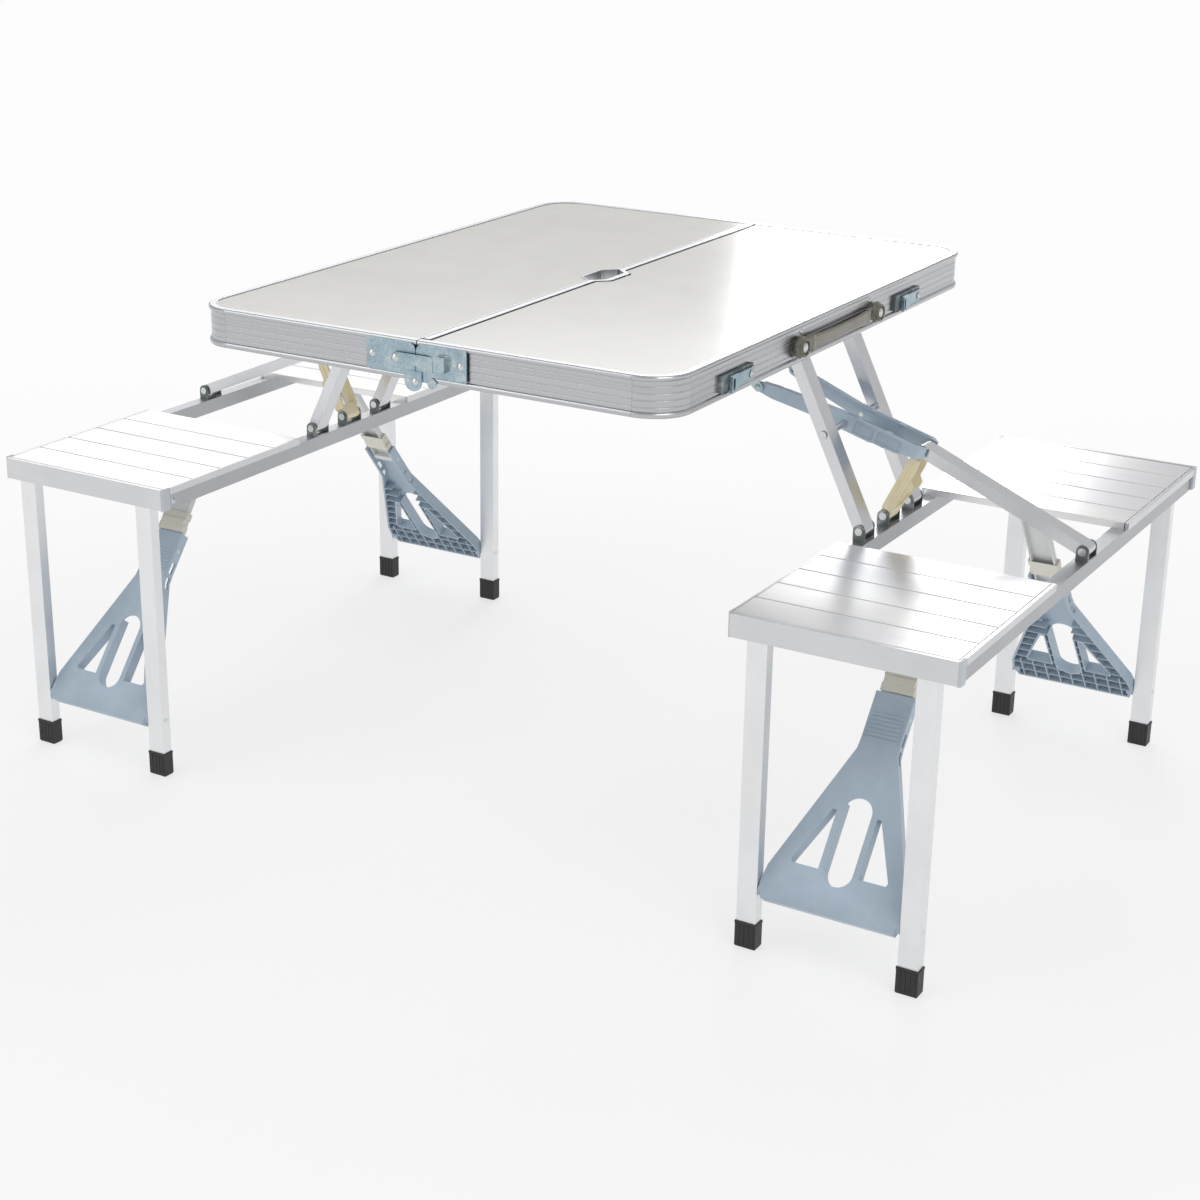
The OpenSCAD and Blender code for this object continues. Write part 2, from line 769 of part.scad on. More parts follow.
// Side view of the beam: round arm ends and a deeper belly in the middle
module beam_side() {
    arm_r = 6.4;
    circle(arm_r);
    polygon([[0, -arm_r], [20, beam_low], [95, beam_low - 2], [106, belly], [150, belly], [158, belly + 2],
             [186, belly + 2], [196, beam_low], [beam_end, beam_low + 2], [beam_end, beam_top - 0.5],
             [20, beam_top], [0, arm_r]]);
}

// Long slots in the lips and shallow recesses in the outer walls
module beam_cuts() {
    slot_x = beam_half - 5.5;
    both_x() {
        span([slot_x - 1.5, 132, beam_top - 4], [slot_x + 1.5, 166, beam_top + 2]);
        span([slot_x - 1.5, 174, beam_top - 4], [slot_x + 1.5, 210, beam_top + 2]);
        span([beam_half - 1, 126, -11], [beam_half + 1, 152, 4]);
        span([beam_half - 1, 158, -9.5], [beam_half + 1, 190, 4]);
    }
}

// Web with three windows that joins the two walls at the belly
module beam_web() {
    half = beam_half - beam_wall;
    difference() {
        span([-half, 131, belly], [half, 169, belly + 2.5]);
        for (y = [137, 150, 163]) span([-12, y - 4, belly - 1], [12, y + 4, belly + 3]);
    }
}

// Moulded beam that ties the struts, the links and the stay tube together
module beam(side) {
    rib_t = 1.4;
    color([0.58, 0.67, 0.77]) on_side(side) difference() {
        in_beam() {
            difference() {
                intersection() {
                    beam_walls();
                    slab(-60, 60) beam_side();
                }
                beam_cuts();
                pin_x([0, 0], -60, 60, pin_r + fit);
            }
            beam_web();
            // ribs across the lips above the belly
            both_x() for (y = [112:3.2:125])
                span([beam_half - lip_w, y, beam_top], [beam_half - 1, y + rib_t, beam_top + 1]);
        }
        both_x() pin_x(p_cross, beam_half - beam_wall - 3, beam_half + 8, pin_r + fit);
    }
}

// Two flat steel links from the table to the outside of the beam arms, each with a rivet head at its arm
module links(side) {
    half = 6;
    color([0.66, 0.72, 0.76]) on_side(side) both_x() {
        difference() {
            slab(link_x, link_x + link_t) bar_2d(p_link_top, p_beam_arm, half);
            pin_x(p_link_top, link_x - 1, link_x + link_t + 1, pin_r + fit);
        }
        translate([link_x + link_t, p_beam_arm[0], p_beam_arm[1]]) rotate([0, 90, 0]) dome(4.5, 1.8);
    }
}

module stay_tube(side) {
    color([0.74, 0.75, 0.77]) on_side(side) link_tube(p_beam_end, p_stay, strut_w / 2, strut_t / 2);
}

// Forked plastic lever: its foot stands in the middle clevis, and its two prongs end under the beam
module lock_lever(side) {
    half = 7;
    prong_in = strut_w / 2 + 0.6;
    prong_out = prong_in + 4;
    grip_out = prong_in + 2.6;
    web_to = 15;
    tip = lever_len - 11;
    color([0.93, 0.87, 0.68]) on_side(side)
        translate([0, p_strut_foot[0], p_strut_foot[1]]) rotate([lever_angle, 0, 0]) difference() {
            union() {
                // foot between the clevis ears
                slab(-lever_base, lever_base) {
                    circle(half);
                    translate([0, -half]) square([web_to, 2 * half]);
                }
                // web under the fork
                span([-prong_out, web_to - 5, -half], [prong_out, web_to, half]);
                both_x() {
                    slab(prong_in, prong_out)
                        polygon([[web_to - 5, -half], [tip - 16, -half], [tip, 2 - half], [tip, half],
                                 [tip - 5, half + 1], [web_to - 5, half + 1]]);
                    // finger grip on the lower side of the prong
                    slab(prong_in, grip_out)
                        polygon([[22, -half], [30, -10], [42, -10], [47, -14], [54, -14], [60, -half]]);
                    // raised rib along the outside of the prong
                    slab(prong_out, prong_out + 0.8)
                        polygon([[web_to + 8, -3], [tip - 8, -2], [tip - 8, 1], [web_to + 8, 1]]);
                }
            }
            pin_x([0, 0], -lever_base - 1, lever_base + 1, pin_r + fit);
        }
}

// ---- Legs ----

module leg_tube() {
    difference() {
        union() {
            span([leg_x - leg_t / 2, -leg_w / 2, 5], [leg_x + leg_t / 2, leg_w / 2, leg_pivot_z]);
            pin_y(leg_x, leg_pivot_z, -leg_w / 2, leg_w / 2, leg_t / 2);
        }
        span([leg_x - leg_t / 2 + wall, -leg_w / 2 + wall, 4],
             [leg_x + leg_t / 2 - wall, leg_w / 2 - wall, leg_pivot_z - 9]);
        pin_y(leg_x, leg_pivot_z, -leg_w, leg_w, pin_r + fit);
        pin_y(leg_x, brace_pivot_z, -leg_w, leg_w, pin_r + fit);
    }
}

module legs(side, end) {
    color([0.86, 0.87, 0.88]) on_side(side) on_end(end) for (s = [-1, 1])
        translate([0, seat_mid + s * leg_off, 0]) {
            leg_tube();
            // rivet of the brace pivot, its head on the leg's outer face
            pin_y(leg_x, brace_pivot_z, -leg_w / 2, leg_w / 2, pin_r);
            translate([leg_x, s * leg_w / 2, brace_pivot_z]) rotate([-90 * s, 0, 0]) dome(5, 1.8);
        }
}

// Rubber boot with a flared rim, upright ribs and a rounded tread
module foot() {
    skin = 1.4;
    w = leg_w + 2 * skin;
    t = leg_t + 2 * skin;
    rib = 0.1;
    difference() {
        union() {
            span([-t / 2 + 1, -w / 2 + 1, 0], [t / 2 - 1, w / 2 - 1, 3]);
            span([-t / 2 + 0.4, -w / 2 + 0.4, 1.2], [t / 2 - 0.4, w / 2 - 0.4, foot_h]);
            span([-t / 2, -w / 2, foot_h - 3], [t / 2, w / 2, foot_h]);
            for (y = [-9:6:9]) span([-t / 2 - rib, y - 1.5, 3], [t / 2 + rib, y + 1.5, foot_h - 4]);
        }
        span([-leg_t / 2 - fit, -leg_w / 2 - fit, 5], [leg_t / 2 + fit, leg_w / 2 + fit, foot_h + 1]);
    }
}

module feet(side, end) {
    color([0.12, 0.12, 0.13]) on_side(side) on_end(end) for (s = [-1, 1])
        translate([leg_x, seat_mid + s * leg_off, 0]) foot();
}

// Carries a piece drawn in the brace's own frame: x along the brace, y across it, +z to its outer face
module in_brace() {
    translate([leg_x, seat_mid, brace_pivot_z]) mirror([1, 0, 0]) rotate([0, brace_tilt - 90, 0]) children();
}

// A-shaped outline of the brace, pulled in by inset
function brace_outline(inset) = [
    [-12 + inset, brace_half - 7 - inset], [6, brace_half - inset], [28, brace_half - 3 - inset],
    [186, neck_half - inset + 1], [200, neck_half - inset], [brace_len + neck_end - inset, neck_half - inset],
    [brace_len + neck_end - inset, -neck_half + inset], [200, -neck_half + inset],
    [186, -neck_half + inset - 1], [28, -brace_half + 3 + inset], [6, -brace_half + inset],
    [-12 + inset, -brace_half + 7 + inset]];

// Stadium hole in the middle and a triangular hole on each side, grown by grow
module brace_holes(grow) {
    stadium_r = 17.5 + grow;
    for (x = [40, 112]) translate([x, 0]) circle(stadium_r);
    translate([40, -stadium_r]) square([72, 2 * stadium_r]);
    for (s = [-1, 1]) polygon([[38 - grow, s * (25 - grow)], [38 - grow, s * (58 + grow)],
                               [42, s * (60 + grow)], [110 + 2 * grow, s * (30 + grow)],
                               [110 + 2 * grow, s * (25 - grow)]]);
}

module brace(side, end) {
    knee_bore = pin_r + fit;
    color([0.57, 0.66, 0.75]) on_side(side) on_end(end) in_brace() difference() {
        union() {
            // outer skin
            translate([0, 0, brace_t - skin_t]) linear_extrude(skin_t) polygon(brace_outline(0));
            // edge walls, hole walls and cross ribs on the inner side
            translate([0, 0, -brace_t]) linear_extrude(2 * brace_t - skin_t) difference() {
                union() {
                    difference() {
                        polygon(brace_outline(0));
                        polygon(brace_outline(neck_wall));
                    }
                    intersection() {
                        polygon(brace_outline(1));
                        union() {
                            difference() {
                                brace_holes(2);
                                brace_holes(0);
                            }
                            for (x = [6:18:150]) translate([x, -brace_half]) square([1.8, 2 * brace_half]);
                            for (y = [-72:18:72]) translate([-10, y - 0.9]) square([44, 1.8]);
                        }
                    }
                }
                // free path for the stay and its slider when they fold in
                translate([40, -stay_half - gap]) square([brace_len + neck_end, 2 * (stay_half + gap)]);
                translate([150, -slider_half - gap]) square([brace_len, 2 * (slider_half + gap)]);
            }
            // pivot bosses beside the legs
            for (s = [-1, 1]) translate([0, s * (brace_half - 5), 0]) rotate([90, 0, 0])
                cylinder(h = 10 - 2 * eps, r = brace_t - eps, center = true);
            // grip ribs across the neck
            for (x = [200:5:230]) span([x, -neck_half + 4, brace_t], [x + 2, neck_half - 4, brace_t + 0.8]);
        }
        translate([0, 0, -brace_t - 2]) linear_extrude(2 * brace_t + 4) brace_holes(0);
        // slot windows in the neck's side walls
        for (x = [178, 200]) for (s = [-1, 1]) span([x, s * neck_half - 6, -4], [x + 16, s * neck_half + 6, 3]);
        translate([brace_len, 0, 0]) rotate([90, 0, 0])
            cylinder(h = 3 * neck_half, r = knee_bore, center = true);
    }
}

// Carries a piece drawn in the stay's own frame: x from the knee to the seat pivot
module in_stay() {
    translate([knee_x, seat_mid, knee_z]) mirror([1, 0, 0]) rotate([0, -stay_angle, 0]) children();
}

// Channel-shaped stay with bored ends; its knee pin turns in the brace's neck
module stay(side, end) {
    half_t = 4.5;
    color([0.86, 0.87, 0.87]) on_side(side) on_end(end) in_stay() {
        difference() {
            union() {
                span([0, -stay_half, -half_t], [stay_len, stay_half, half_t]);
                for (x = [0, stay_len]) translate([x, 0, 0]) rotate([90, 0, 0])
                    cylinder(h = 2 * stay_half, r = half_t, center = true);
            }
            span([8, -stay_half + 2, -half_t - 1], [stay_len - 8, stay_half - 2, half_t - 2]);
            span([stay_len - 8, -stay_half + 2, -half_t - 1], [stay_len + 8, stay_half - 2, half_t + 1]);
            for (x = [0, stay_len]) translate([x, 0, 0]) rotate([90, 0, 0])
                cylinder(h = 3 * stay_half, r = pin_r + fit, center = true);
        }
        rotate([90, 0, 0]) cylinder(h = 2 * neck_half, r = pin_r, center = true);
    }
}

// Stepped plastic collar on the stay, just past the end of the neck
module slider(side, end) {
    low = -5.2;
    high = 8;
    color([0.9, 0.88, 0.8]) on_side(side) on_end(end) in_stay() difference() {
        union() {
            span([27, -slider_half, low], [37, slider_half, high - 1]);
            span([37, -slider_half + 1.5, low], [46, slider_half - 1.5, high]);
            span([46, -slider_half, low], [56, slider_half, high - 1.5]);
        }
        span([20, -stay_half - fit, -4.5 - fit], [60, stay_half + fit, 4.5 + fit]);
    }
}

// ---- Nodes ----

panel(1);  // rear_panel
panel(-1);  // front_panel
rim(1);  // rear_rim
rim(-1);  // front_rim
rear_hinge_plates();
front_hinge_plates();
rear_rivets();
front_rivets();
on_end(-1) hook();  // hook_left
on_end(1) hook();  // hook_right
hook_catches();
latch_bases();
latch_hook(-latch_x);  // latch_hook_left
latch_hook(latch_x);  // latch_hook_right
latch_pegs();
handle();
brackets(1);  // rear_brackets
brackets(-1);  // front_brackets
seat_rails(1);  // rear_seat_rails
seat_slats(1);  // rear_seat_slats
seat_ends(1);  // rear_seat_ends
seat_caps(1);  // rear_seat_caps
seat_rivets(1);  // rear_seat_rivets
clevises(1);  // rear_clevises
struts(1);  // rear_struts
beam(1);  // rear_beam
links(1);  // rear_links
stay_tube(1);  // rear_stay_tube
lock_lever(1);  // rear_lock_lever
seat_rails(-1);  // front_seat_rails
seat_slats(-1);  // front_seat_slats
seat_ends(-1);  // front_seat_ends
seat_caps(-1);  // front_seat_caps
seat_rivets(-1);  // front_seat_rivets
clevises(-1);  // front_clevises
struts(-1);  // front_struts
beam(-1);  // front_beam
links(-1);  // front_links
stay_tube(-1);  // front_stay_tube
lock_lever(-1);  // front_lock_lever
legs(1, -1);  // rear_left_legs
feet(1, -1);  // rear_left_feet
brace(1, -1);  // rear_left_brace
stay(1, -1);  // rear_left_stay
slider(1, -1);  // rear_left_slider
legs(1, 1);  // rear_right_legs
feet(1, 1);  // rear_right_feet
brace(1, 1);  // rear_right_brace
stay(1, 1);  // rear_right_stay
slider(1, 1);  // rear_right_slider
legs(-1, -1);  // front_left_legs
feet(-1, -1);  // front_left_feet
brace(-1, -1);  // front_left_brace
stay(-1, -1);  // front_left_stay
slider(-1, -1);  // front_left_slider
legs(-1, 1);  // front_right_legs
feet(-1, 1);  // front_right_feet
brace(-1, 1);  // front_right_brace
stay(-1, 1);  // front_right_stay
slider(-1, 1);  // front_right_slider
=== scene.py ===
"""Looks of the folding picnic table: procedural materials, the moulded handle, studio light and camera.

Units are metres. X runs along the split of the table top, -Y is the front half with the handle, +Z is up.
"""

import json
import math

import bmesh
import bpy
from mathutils import Matrix, Vector


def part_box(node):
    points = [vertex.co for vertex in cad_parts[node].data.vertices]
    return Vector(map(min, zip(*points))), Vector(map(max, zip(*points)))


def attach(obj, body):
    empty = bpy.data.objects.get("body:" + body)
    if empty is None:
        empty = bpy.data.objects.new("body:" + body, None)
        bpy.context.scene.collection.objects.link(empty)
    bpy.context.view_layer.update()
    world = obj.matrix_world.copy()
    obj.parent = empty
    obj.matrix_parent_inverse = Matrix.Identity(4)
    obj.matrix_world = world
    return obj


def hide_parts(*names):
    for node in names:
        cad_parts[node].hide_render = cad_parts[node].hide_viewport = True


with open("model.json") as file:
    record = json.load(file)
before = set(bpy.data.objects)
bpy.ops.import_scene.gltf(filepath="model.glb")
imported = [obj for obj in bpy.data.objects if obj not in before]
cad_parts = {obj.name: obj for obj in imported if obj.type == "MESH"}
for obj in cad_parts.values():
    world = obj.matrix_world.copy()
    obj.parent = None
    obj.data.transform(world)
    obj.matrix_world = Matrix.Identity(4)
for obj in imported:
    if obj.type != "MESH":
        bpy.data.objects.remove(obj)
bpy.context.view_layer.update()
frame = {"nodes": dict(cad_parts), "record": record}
nodes = frame["nodes"]

MM = 0.001

# Direction of the grain or of the extrusion, as the axis along which a texture is stretched
ALONG_X = (0.02, 1.0, 1.0)
ALONG_Y = (1.0, 0.02, 1.0)
ALONG_Z = (1.0, 1.0, 0.02)
EVEN = (1.0, 1.0, 1.0)

WHITE = (1.0, 1.0, 1.0)


# ---- Shader building ----


class Shader:
    """A node material with one Principled shader and short helpers for textures around it."""

    BEVEL_SAMPLES = 4
    # Pointiness of a surface that is all but flat, and of a plain edge
    FLAT, SHARP = 0.52, 0.62

    def __init__(self, name):
        self.mat = bpy.data.materials.new(name)
        self.mat.use_nodes = True
        self.tree = self.mat.node_tree
        self.tree.nodes.clear()
        self.out = self.tree.nodes.new("ShaderNodeOutputMaterial")
        self.bsdf = self.tree.nodes.new("ShaderNodeBsdfPrincipled")
        self.link(self.bsdf.outputs[0], self.out.inputs[0])
        self.place = self.tree.nodes.new("ShaderNodeTexCoord").outputs["Object"]

    def link(self, a, b):
        self.tree.links.new(a, b)

    def set(self, **values):
        """Gives the main shader's inputs a value or a link; an underscore stands for a space."""
        for key, value in values.items():
            socket = self.bsdf.inputs[key.replace("_", " ")]
            if isinstance(value, bpy.types.NodeSocket):
                self.link(value, socket)
            else:
                socket.default_value = value

    def mapped(self, stretch):
        """The place on the object, stretched along the grain."""
        m = self.tree.nodes.new("ShaderNodeMapping")
        m.inputs["Scale"].default_value = stretch
        self.link(self.place, m.inputs["Vector"])
        return m.outputs[0]

    def noise(self, scale, detail=3.0, rough=0.55, stretch=EVEN):
        n = self.tree.nodes.new("ShaderNodeTexNoise")
        n.inputs["Scale"].default_value = scale
        n.inputs["Detail"].default_value = detail
        n.inputs["Roughness"].default_value = rough
        self.link(self.mapped(stretch), n.inputs["Vector"])
        return n.outputs[0]

    def cells(self, scale):
        n = self.tree.nodes.new("ShaderNodeTexVoronoi")
        n.inputs["Scale"].default_value = scale
        self.link(self.mapped(EVEN), n.inputs["Vector"])
        return n.outputs["Color"]

    def ramp(self, factor, stops):
        r = self.tree.nodes.new("ShaderNodeValToRGB")
        self.link(factor, r.inputs[0])
        while len(r.color_ramp.elements) < len(stops):
            r.color_ramp.elements.new(0.5)
        for element, (at, color) in zip(r.color_ramp.elements, stops):
            element.position = at
            element.color = (*color, 1.0)
        return r.outputs[0]

    def fit(self, value, low, high, start=0.3, end=0.7):
        """Maps start to end onto low to high; a noise hardly leaves 0.3 to 0.7."""
        m = self.tree.nodes.new("ShaderNodeMapRange")
        self.link(value, m.inputs["Value"])
        m.inputs["From Min"].default_value = start
        m.inputs["From Max"].default_value = end
        m.inputs["To Min"].default_value = low
        m.inputs["To Max"].default_value = high
        return m.outputs[0]

    def mix(self, factor, a, b, kind="MIX"):
        """Blends two colours; each argument is a value or the output of another node."""
        m = self.tree.nodes.new("ShaderNodeMix")
        m.data_type = "RGBA"
        m.blend_type = kind
        for socket, value in ((m.inputs[0], factor), (m.inputs[6], a), (m.inputs[7], b)):
            if isinstance(value, bpy.types.NodeSocket):
                self.link(value, socket)
            elif isinstance(value, float):
                socket.default_value = value
            else:
                socket.default_value = (*value, 1.0)
        return m.outputs[2]

    def rounded(self, radius):
        """Edges catch light as if they had this radius."""
        b = self.tree.nodes.new("ShaderNodeBevel")
        b.samples = self.BEVEL_SAMPLES
        b.inputs["Radius"].default_value = radius
        return b.outputs[0]

    def bump(self, height, distance, strength, over=None):
        b = self.tree.nodes.new("ShaderNodeBump")
        b.inputs["Strength"].default_value = strength
        b.inputs["Distance"].default_value = distance
        self.link(height, b.inputs["Height"])
        if over is not None:
            self.link(over, b.inputs["Normal"])
        return b.outputs[0]

    def wear(self, base, worn, amount):
        """Edges and corners go towards the worn colour."""
        g = self.tree.nodes.new("ShaderNodeNewGeometry")
        edge = self.fit(g.outputs["Pointiness"], 0.0, amount, self.FLAT, self.SHARP)
        return self.mix(edge, base, worn)


def shade(color, by):
    return tuple(min(1.0, c * by) for c in color)


def metal(name, color, rough, stretch=EVEN, grain=900.0):
    """Bare or anodised metal with drawn or brushed lines along its grain."""
    s = Shader(name)
    lines = s.noise(grain, 3.0, 0.5, stretch)
    blotch = s.noise(14.0, 2.0, 0.5)
    dark = shade(color, 0.95)
    tint = s.ramp(blotch, [(0.35, dark), (0.65, shade(color, 1.05))])
    fine = s.ramp(lines, [(0.3, dark), (0.7, shade(color, 1.025))])
    s.set(
        Base_Color=s.mix(0.5, tint, fine),
        Metallic=1.0,
        Roughness=s.fit(lines, rough - 0.03, rough + 0.04),
        Normal=s.bump(lines, 0.01 * MM, 0.15, s.rounded(0.5 * MM)),
    )
    return s.mat


def painted(name, color, rough):
    """Powder coat that reads as a light solid colour with a soft gloss."""
    s = Shader(name)
    blotch = s.noise(9.0, 3.0, 0.5)
    grains = s.noise(1400.0, 2.0, 0.5)
    s.set(
        Base_Color=s.ramp(blotch, [(0.3, shade(color, 0.97)), (0.7, shade(color, 1.03))]),
        Roughness=s.fit(grains, rough - 0.05, rough + 0.06),
        Normal=s.bump(grains, 0.02 * MM, 0.5, s.rounded(0.5 * MM)),
    )
    return s.mat


def moulded(name, color, rough, deep=None, stain=None, glow=0.0):
    """Injection-moulded plastic: fine grain, faint flow marks, paler rubbed edges and stains."""
    s = Shader(name)
    flow = s.noise(22.0, 4.0, 0.6)
    grains = s.cells(1500.0)
    base = s.ramp(flow, [(0.3, deep or shade(color, 0.93)), (0.7, shade(color, 1.05))])
    if stain is not None:
        base = s.mix(s.fit(s.noise(60.0, 5.0, 0.7), 0.0, 0.22, 0.5, 0.75), base, stain)
    s.set(
        Base_Color=s.wear(base, shade(color, 1.35), 0.45),
        Roughness=s.fit(flow, rough - 0.05, rough + 0.07),
        Subsurface_Weight=glow,
        Subsurface_Radius=(2 * MM, 1.6 * MM, MM),
        Normal=s.bump(grains, 0.02 * MM, 0.45, s.rounded(0.6 * MM)),
    )
    return s.mat


def zinc(name, color, rough):
    """Blue-passivated zinc plate: cloudy blue-grey with a faint straw tint and small spangles."""
    s = Shader(name)
    straw = (0.70, 0.72, 0.66)
    cloud = s.noise(45.0, 5.0, 0.65)
    spangle = s.noise(420.0, 3.0, 0.6)
    tone = s.ramp(cloud, [(0.25, shade(color, 0.78)), (0.5, color), (0.75, straw)])
    speck = s.ramp(spangle, [(0.35, (0.72, 0.76, 0.80)), (0.65, WHITE)])
    s.set(
        Base_Color=s.mix(1.0, tone, speck, "MULTIPLY"),
        Metallic=1.0,
        Roughness=s.fit(spangle, rough - 0.1, rough + 0.12),
        Normal=s.bump(spangle, 0.03 * MM, 0.4, s.rounded(0.4 * MM)),
    )
    return s.mat


def panel_face(name):
    """Glossy off-white laminate with a hardly visible mottle."""
    s = Shader(name)
    mottle = s.noise(5.0, 3.0, 0.5)
    peel = s.noise(20.0, 2.0, 0.5)
    s.set(
        Base_Color=s.ramp(mottle, [(0.3, (0.635, 0.625, 0.595)), (0.7, (0.665, 0.655, 0.63))]),
        Roughness=s.fit(peel, 0.15, 0.18),
        IOR=1.32,
        Normal=s.rounded(0.3 * MM),
    )
    return s.mat


def slat_face(name):
    """Extruded seat aluminium: fine drawn lines, and soft patches along each slat that are glossier and
    painted lighter, as painted highlights.
    """
    s = Shader(name)
    lines = s.noise(1300.0, 2.0, 0.5, (1.0, 0.012, 1.0))
    # Patches along each slat: glossier there, and painted lighter as painted highlights
    highlight_patch = s.noise(16.0, 1.0, 0.4, (1.0, 0.25, 1.0))
    fine = s.ramp(lines, [(0.3, (0.80, 0.80, 0.81)), (0.7, (0.88, 0.88, 0.89))])
    # Painted highlights: the patches along each slat are painted a lighter colour
    painted_highlights = s.ramp(highlight_patch, [(0.35, (0.88, 0.88, 0.90)), (0.65, (1.0, 0.99, 0.97))])
    s.set(
        Base_Color=s.mix(1.0, fine, painted_highlights, "MULTIPLY"),
        Metallic=0.94,
        Roughness=s.fit(highlight_patch, 0.38, 0.30),
        Anisotropic=0.4,
        Normal=s.bump(lines, 0.01 * MM, 0.12, s.rounded(0.4 * MM)),
    )
    return s.mat


def rubber(name, color):
    """Dark moulded rubber, dusty in patches."""
    s = Shader(name)
    dust = s.noise(70.0, 5.0, 0.7)
    grains = s.noise(1800.0, 2.0, 0.5)
    s.set(
        Base_Color=s.ramp(dust, [(0.4, color), (0.75, shade(color, 2.2))]),
        Roughness=s.fit(dust, 0.42, 0.62),
        Normal=s.bump(grains, 0.04 * MM, 0.6, s.rounded(0.5 * MM)),
    )
    return s.mat


def clear_brown(name):
    """See-through olive-brown vinyl of the carry handle."""
    s = Shader(name)
    flow = s.noise(35.0, 4.0, 0.6, (0.35, 1.0, 1.0))
    s.set(
        Base_Color=s.ramp(flow, [(0.3, (0.16, 0.145, 0.10)), (0.7, (0.30, 0.28, 0.21))]),
        Roughness=s.fit(flow, 0.08, 0.2),
        IOR=1.46,
        Transmission_Weight=0.55,
        Coat_Weight=0.4,
        Normal=s.bump(flow, 0.3 * MM, 0.4),
    )
    return s.mat


def rim_with_painted_sheen(name, color, rough):
    """Satin aluminium with fine drawn streaks, and painted sheen: soft lighter and darker stripes stacked
    over its height, along the whole rim.
    """
    s = Shader(name)
    along_rim = (0.0006, 0.0006, 1.0)
    # Noise over the rim's height that places the painted sheen stripes
    drawn = s.noise(90.0, 2.0, 0.5, along_rim)
    fine = s.noise(900.0, 1.0, 0.5, along_rim)
    # Painted sheen: lighter and darker stripes stacked over the rim's height
    painted_sheen_stripes = s.ramp(drawn, [(0.3, shade(color, 0.95)), (0.5, color), (0.7, shade(color, 1.05))])
    streak = s.ramp(fine, [(0.3, (0.97, 0.97, 0.975)), (0.7, WHITE)])
    s.set(
        Base_Color=s.mix(1.0, painted_sheen_stripes, streak, "MULTIPLY"),
        Metallic=1.0,
        Roughness=s.fit(fine, rough - 0.03, rough + 0.04),
        Normal=s.bump(fine, 0.01 * MM, 0.1, s.rounded(0.35 * MM)),
    )
    return s.mat


# ---- Materials, one per slot of the record ----

BLUE, BLUE_DEEP, BLUE_STAIN = (0.37, 0.45, 0.53), (0.32, 0.40, 0.48), (0.48, 0.55, 0.61)
CREAM, CREAM_DEEP = (0.70, 0.63, 0.44), (0.66, 0.58, 0.38)

MATERIALS = {
    "panel_white": panel_face("panel_white"),
    # The rim's material carries painted sheen in stripes over its height
    "rim_aluminium": rim_with_painted_sheen("rim_aluminium", (0.49, 0.50, 0.515), 0.27),
    "zinc_plate": zinc("zinc_plate", (0.42, 0.53, 0.58), 0.34),
    "rivet_steel": metal("rivet_steel", (0.62, 0.64, 0.65), 0.2, grain=500.0),
    "latch_base": zinc("latch_base", (0.20, 0.22, 0.24), 0.42),
    "handle_plastic": clear_brown("handle_plastic"),
    "rail_aluminium": metal("rail_aluminium", (0.44, 0.45, 0.47), 0.36, ALONG_X),
    # The seat slats carry painted highlights along each slat
    "seat_aluminium": slat_face("seat_aluminium"),
    "seat_end_aluminium": metal("seat_end_aluminium", (0.64, 0.65, 0.66), 0.3, ALONG_Y),
    "cap_plastic": moulded("cap_plastic", (0.42, 0.45, 0.48), 0.4),
    "clevis_zinc": zinc("clevis_zinc", (0.20, 0.22, 0.21), 0.36),
    "tube_aluminium": metal("tube_aluminium", (0.66, 0.67, 0.69), 0.3),
    "blue_plastic": moulded("blue_plastic", BLUE, 0.40, BLUE_DEEP, BLUE_STAIN),
    "cream_plastic": moulded("cream_plastic", CREAM, 0.38, CREAM_DEEP, glow=0.25),
    "leg_aluminium": metal("leg_aluminium", (0.80, 0.81, 0.82), 0.38, ALONG_Z),
    "foot_rubber": rubber("foot_rubber", (0.012, 0.012, 0.014)),
    "stay_white": painted("stay_white", (0.66, 0.67, 0.67), 0.36),
    "ivory_plastic": moulded("ivory_plastic", (0.58, 0.57, 0.50), 0.4, glow=0.15),
}

slots = {s["node"]: s["material_slot"] for s in frame["record"]["subparts"]}
for name, obj in nodes.items():
    obj.data.materials.clear()
    obj.data.materials.append(MATERIALS[slots[name]])


# ---- Carry handle ----

STRAP_ROWS, STRAP_STEPS, EYE_STEPS = 64, 20, 40
# The strap's ends stop this far short of the axes of the posts, inside the walls of the eyes
STRAP_SHORT = 12.2 * MM
# Two collars near each end, as their place and spread along the half strap
COLLAR, SMALL_COLLAR = (0.84, 0.035), (0.70, 0.025)
# Exponents that turn the strap's oval section into a rounded rectangle
THICK_POWER, WIDE_POWER = 0.5, 0.62
# Section of an eye in millimetres: distance from the post's axis, and height above the strap's back
EYE = (
    (5.3, 0.2), (13.0, 0.2), (13.7, 0.9), (13.7, 3.8), (13.0, 4.8), (11.9, 5.2), (11.4, 6.0),
    (11.2, 9.8), (10.6, 10.6), (9.4, 10.8), (8.5, 10.4), (8.2, 9.5), (8.2, 5.1), (5.3, 4.8),
)


def turns(steps):
    """Equal steps of a full turn, in radians."""
    return [2 * math.pi * i / steps for i in range(steps)]


def hump(t, at, spread):
    """A smooth bulge at the same distance from the middle on both sides."""
    return math.exp(-((abs(t) - at) / spread) ** 2)


def strap_ring(bm, centre, half_w, half_t):
    """One cross-section of the strap, a rounded rectangle in the YZ plane."""
    ring = []
    for a in turns(STRAP_STEPS):
        c, s = math.cos(a), math.sin(a)
        y = half_t * math.copysign(abs(c) ** THICK_POWER, c)
        z = half_w * math.copysign(abs(s) ** WIDE_POWER, s)
        ring.append(bm.verts.new(centre + Vector((0, y, z))))
    return ring


def skin(bm, rings, closed):
    """Quads between neighbouring rings; a closed skin also joins the last ring to the first."""
    pairs = list(zip(rings, rings[1:]))
    if closed:
        pairs.append((rings[-1], rings[0]))
    for a, b in pairs:
        for i in range(len(a)):
            j = (i + 1) % len(a)
            bm.faces.new((a[i], a[j], b[j], b[i]))


